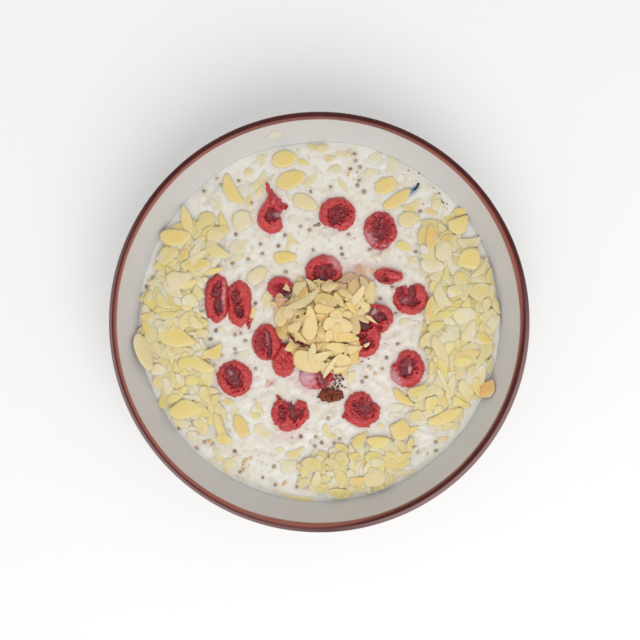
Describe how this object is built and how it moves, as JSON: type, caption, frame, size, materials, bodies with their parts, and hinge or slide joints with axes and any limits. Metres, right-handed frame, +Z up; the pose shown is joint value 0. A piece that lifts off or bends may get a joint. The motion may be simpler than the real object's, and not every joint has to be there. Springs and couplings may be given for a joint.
{
  "type": "bowl of porridge",
  "caption": "Round white glazed bowl with a dark red rim line, filled with milky oat porridge topped with torn cherries, flaked almonds and tiny seeds.",
  "frame": {"origin": "centre of the foot ring, on the surface that the bowl stands on", "axes": "+Z up through the open mouth of the bowl, +Y towards the top of a plate seen from the eater's place, +X to the eater's right"},
  "size_m": [0.21, 0.21, 0.052],
  "materials": {
    "white_glaze": "smooth warm white glaze with a dark red painted line round the rim",
    "milky_oats": null,
    "cherry_flesh": null,
    "dried_fruit_skin": null,
    "wet_almond": null,
    "dry_almond": null
  },
  "bodies": {
    "root": {"almond_drift_front": "wet_almond", "almond_drift_left": "wet_almond", "almond_drift_right": "wet_almond", "almond_flake_01": "wet_almond", "almond_flake_02": "wet_almond", "almond_flake_03": "wet_almond", "almond_flake_04": "wet_almond", "almond_flake_05": "wet_almond", "almond_flake_06": "wet_almond", "almond_flake_07": "wet_almond", "almond_flake_08": "wet_almond", "almond_flake_09": "wet_almond", "almond_flake_10": "wet_almond", "almond_flake_11": "wet_almond", "almond_flake_12": "wet_almond", "almond_flake_13": "wet_almond", "almond_flake_14": "wet_almond", "almond_flake_15": "wet_almond", "almond_flake_16": "wet_almond", "almond_flake_17": "wet_almond", "almond_flake_18": "wet_almond", "almond_flake_19": "wet_almond", "almond_flake_20": "wet_almond", "almond_flake_21": "wet_almond", "almond_flake_22": "wet_almond", "almond_flake_23": "wet_almond", "almond_flake_24": "wet_almond", "almond_flake_25": "wet_almond", "almond_flake_26": "wet_almond", "almond_flake_27": "wet_almond", "almond_flake_28": "wet_almond", "almond_flake_29": "wet_almond", "almond_flake_30": "wet_almond", "almond_flake_31": "wet_almond", "almond_flake_32": "wet_almond", "almond_heap": "dry_almond", "bowl": "white_glaze", "cherry_inner_1": "cherry_flesh", "cherry_inner_2": "cherry_flesh", "cherry_inner_3": "cherry_flesh", "cherry_inner_4": "cherry_flesh", "cherry_inner_5": "cherry_flesh", "cherry_inner_6": "cherry_flesh", "cherry_inner_7": "cherry_flesh", "cherry_inner_8": "cherry_flesh", "cherry_outer_1": "cherry_flesh", "cherry_outer_2": "cherry_flesh", "cherry_outer_3": "cherry_flesh", "cherry_outer_4": "cherry_flesh", "cherry_outer_5": "cherry_flesh", "cherry_outer_6": "cherry_flesh", "cherry_outer_7": "cherry_flesh", "cherry_outer_8": "cherry_flesh", "cherry_outer_9_left": "cherry_flesh", "cherry_outer_9_right": "cherry_flesh", "dried_fruit": "dried_fruit_skin", "porridge": "milky_oats"}
  },
  "joints": []
}
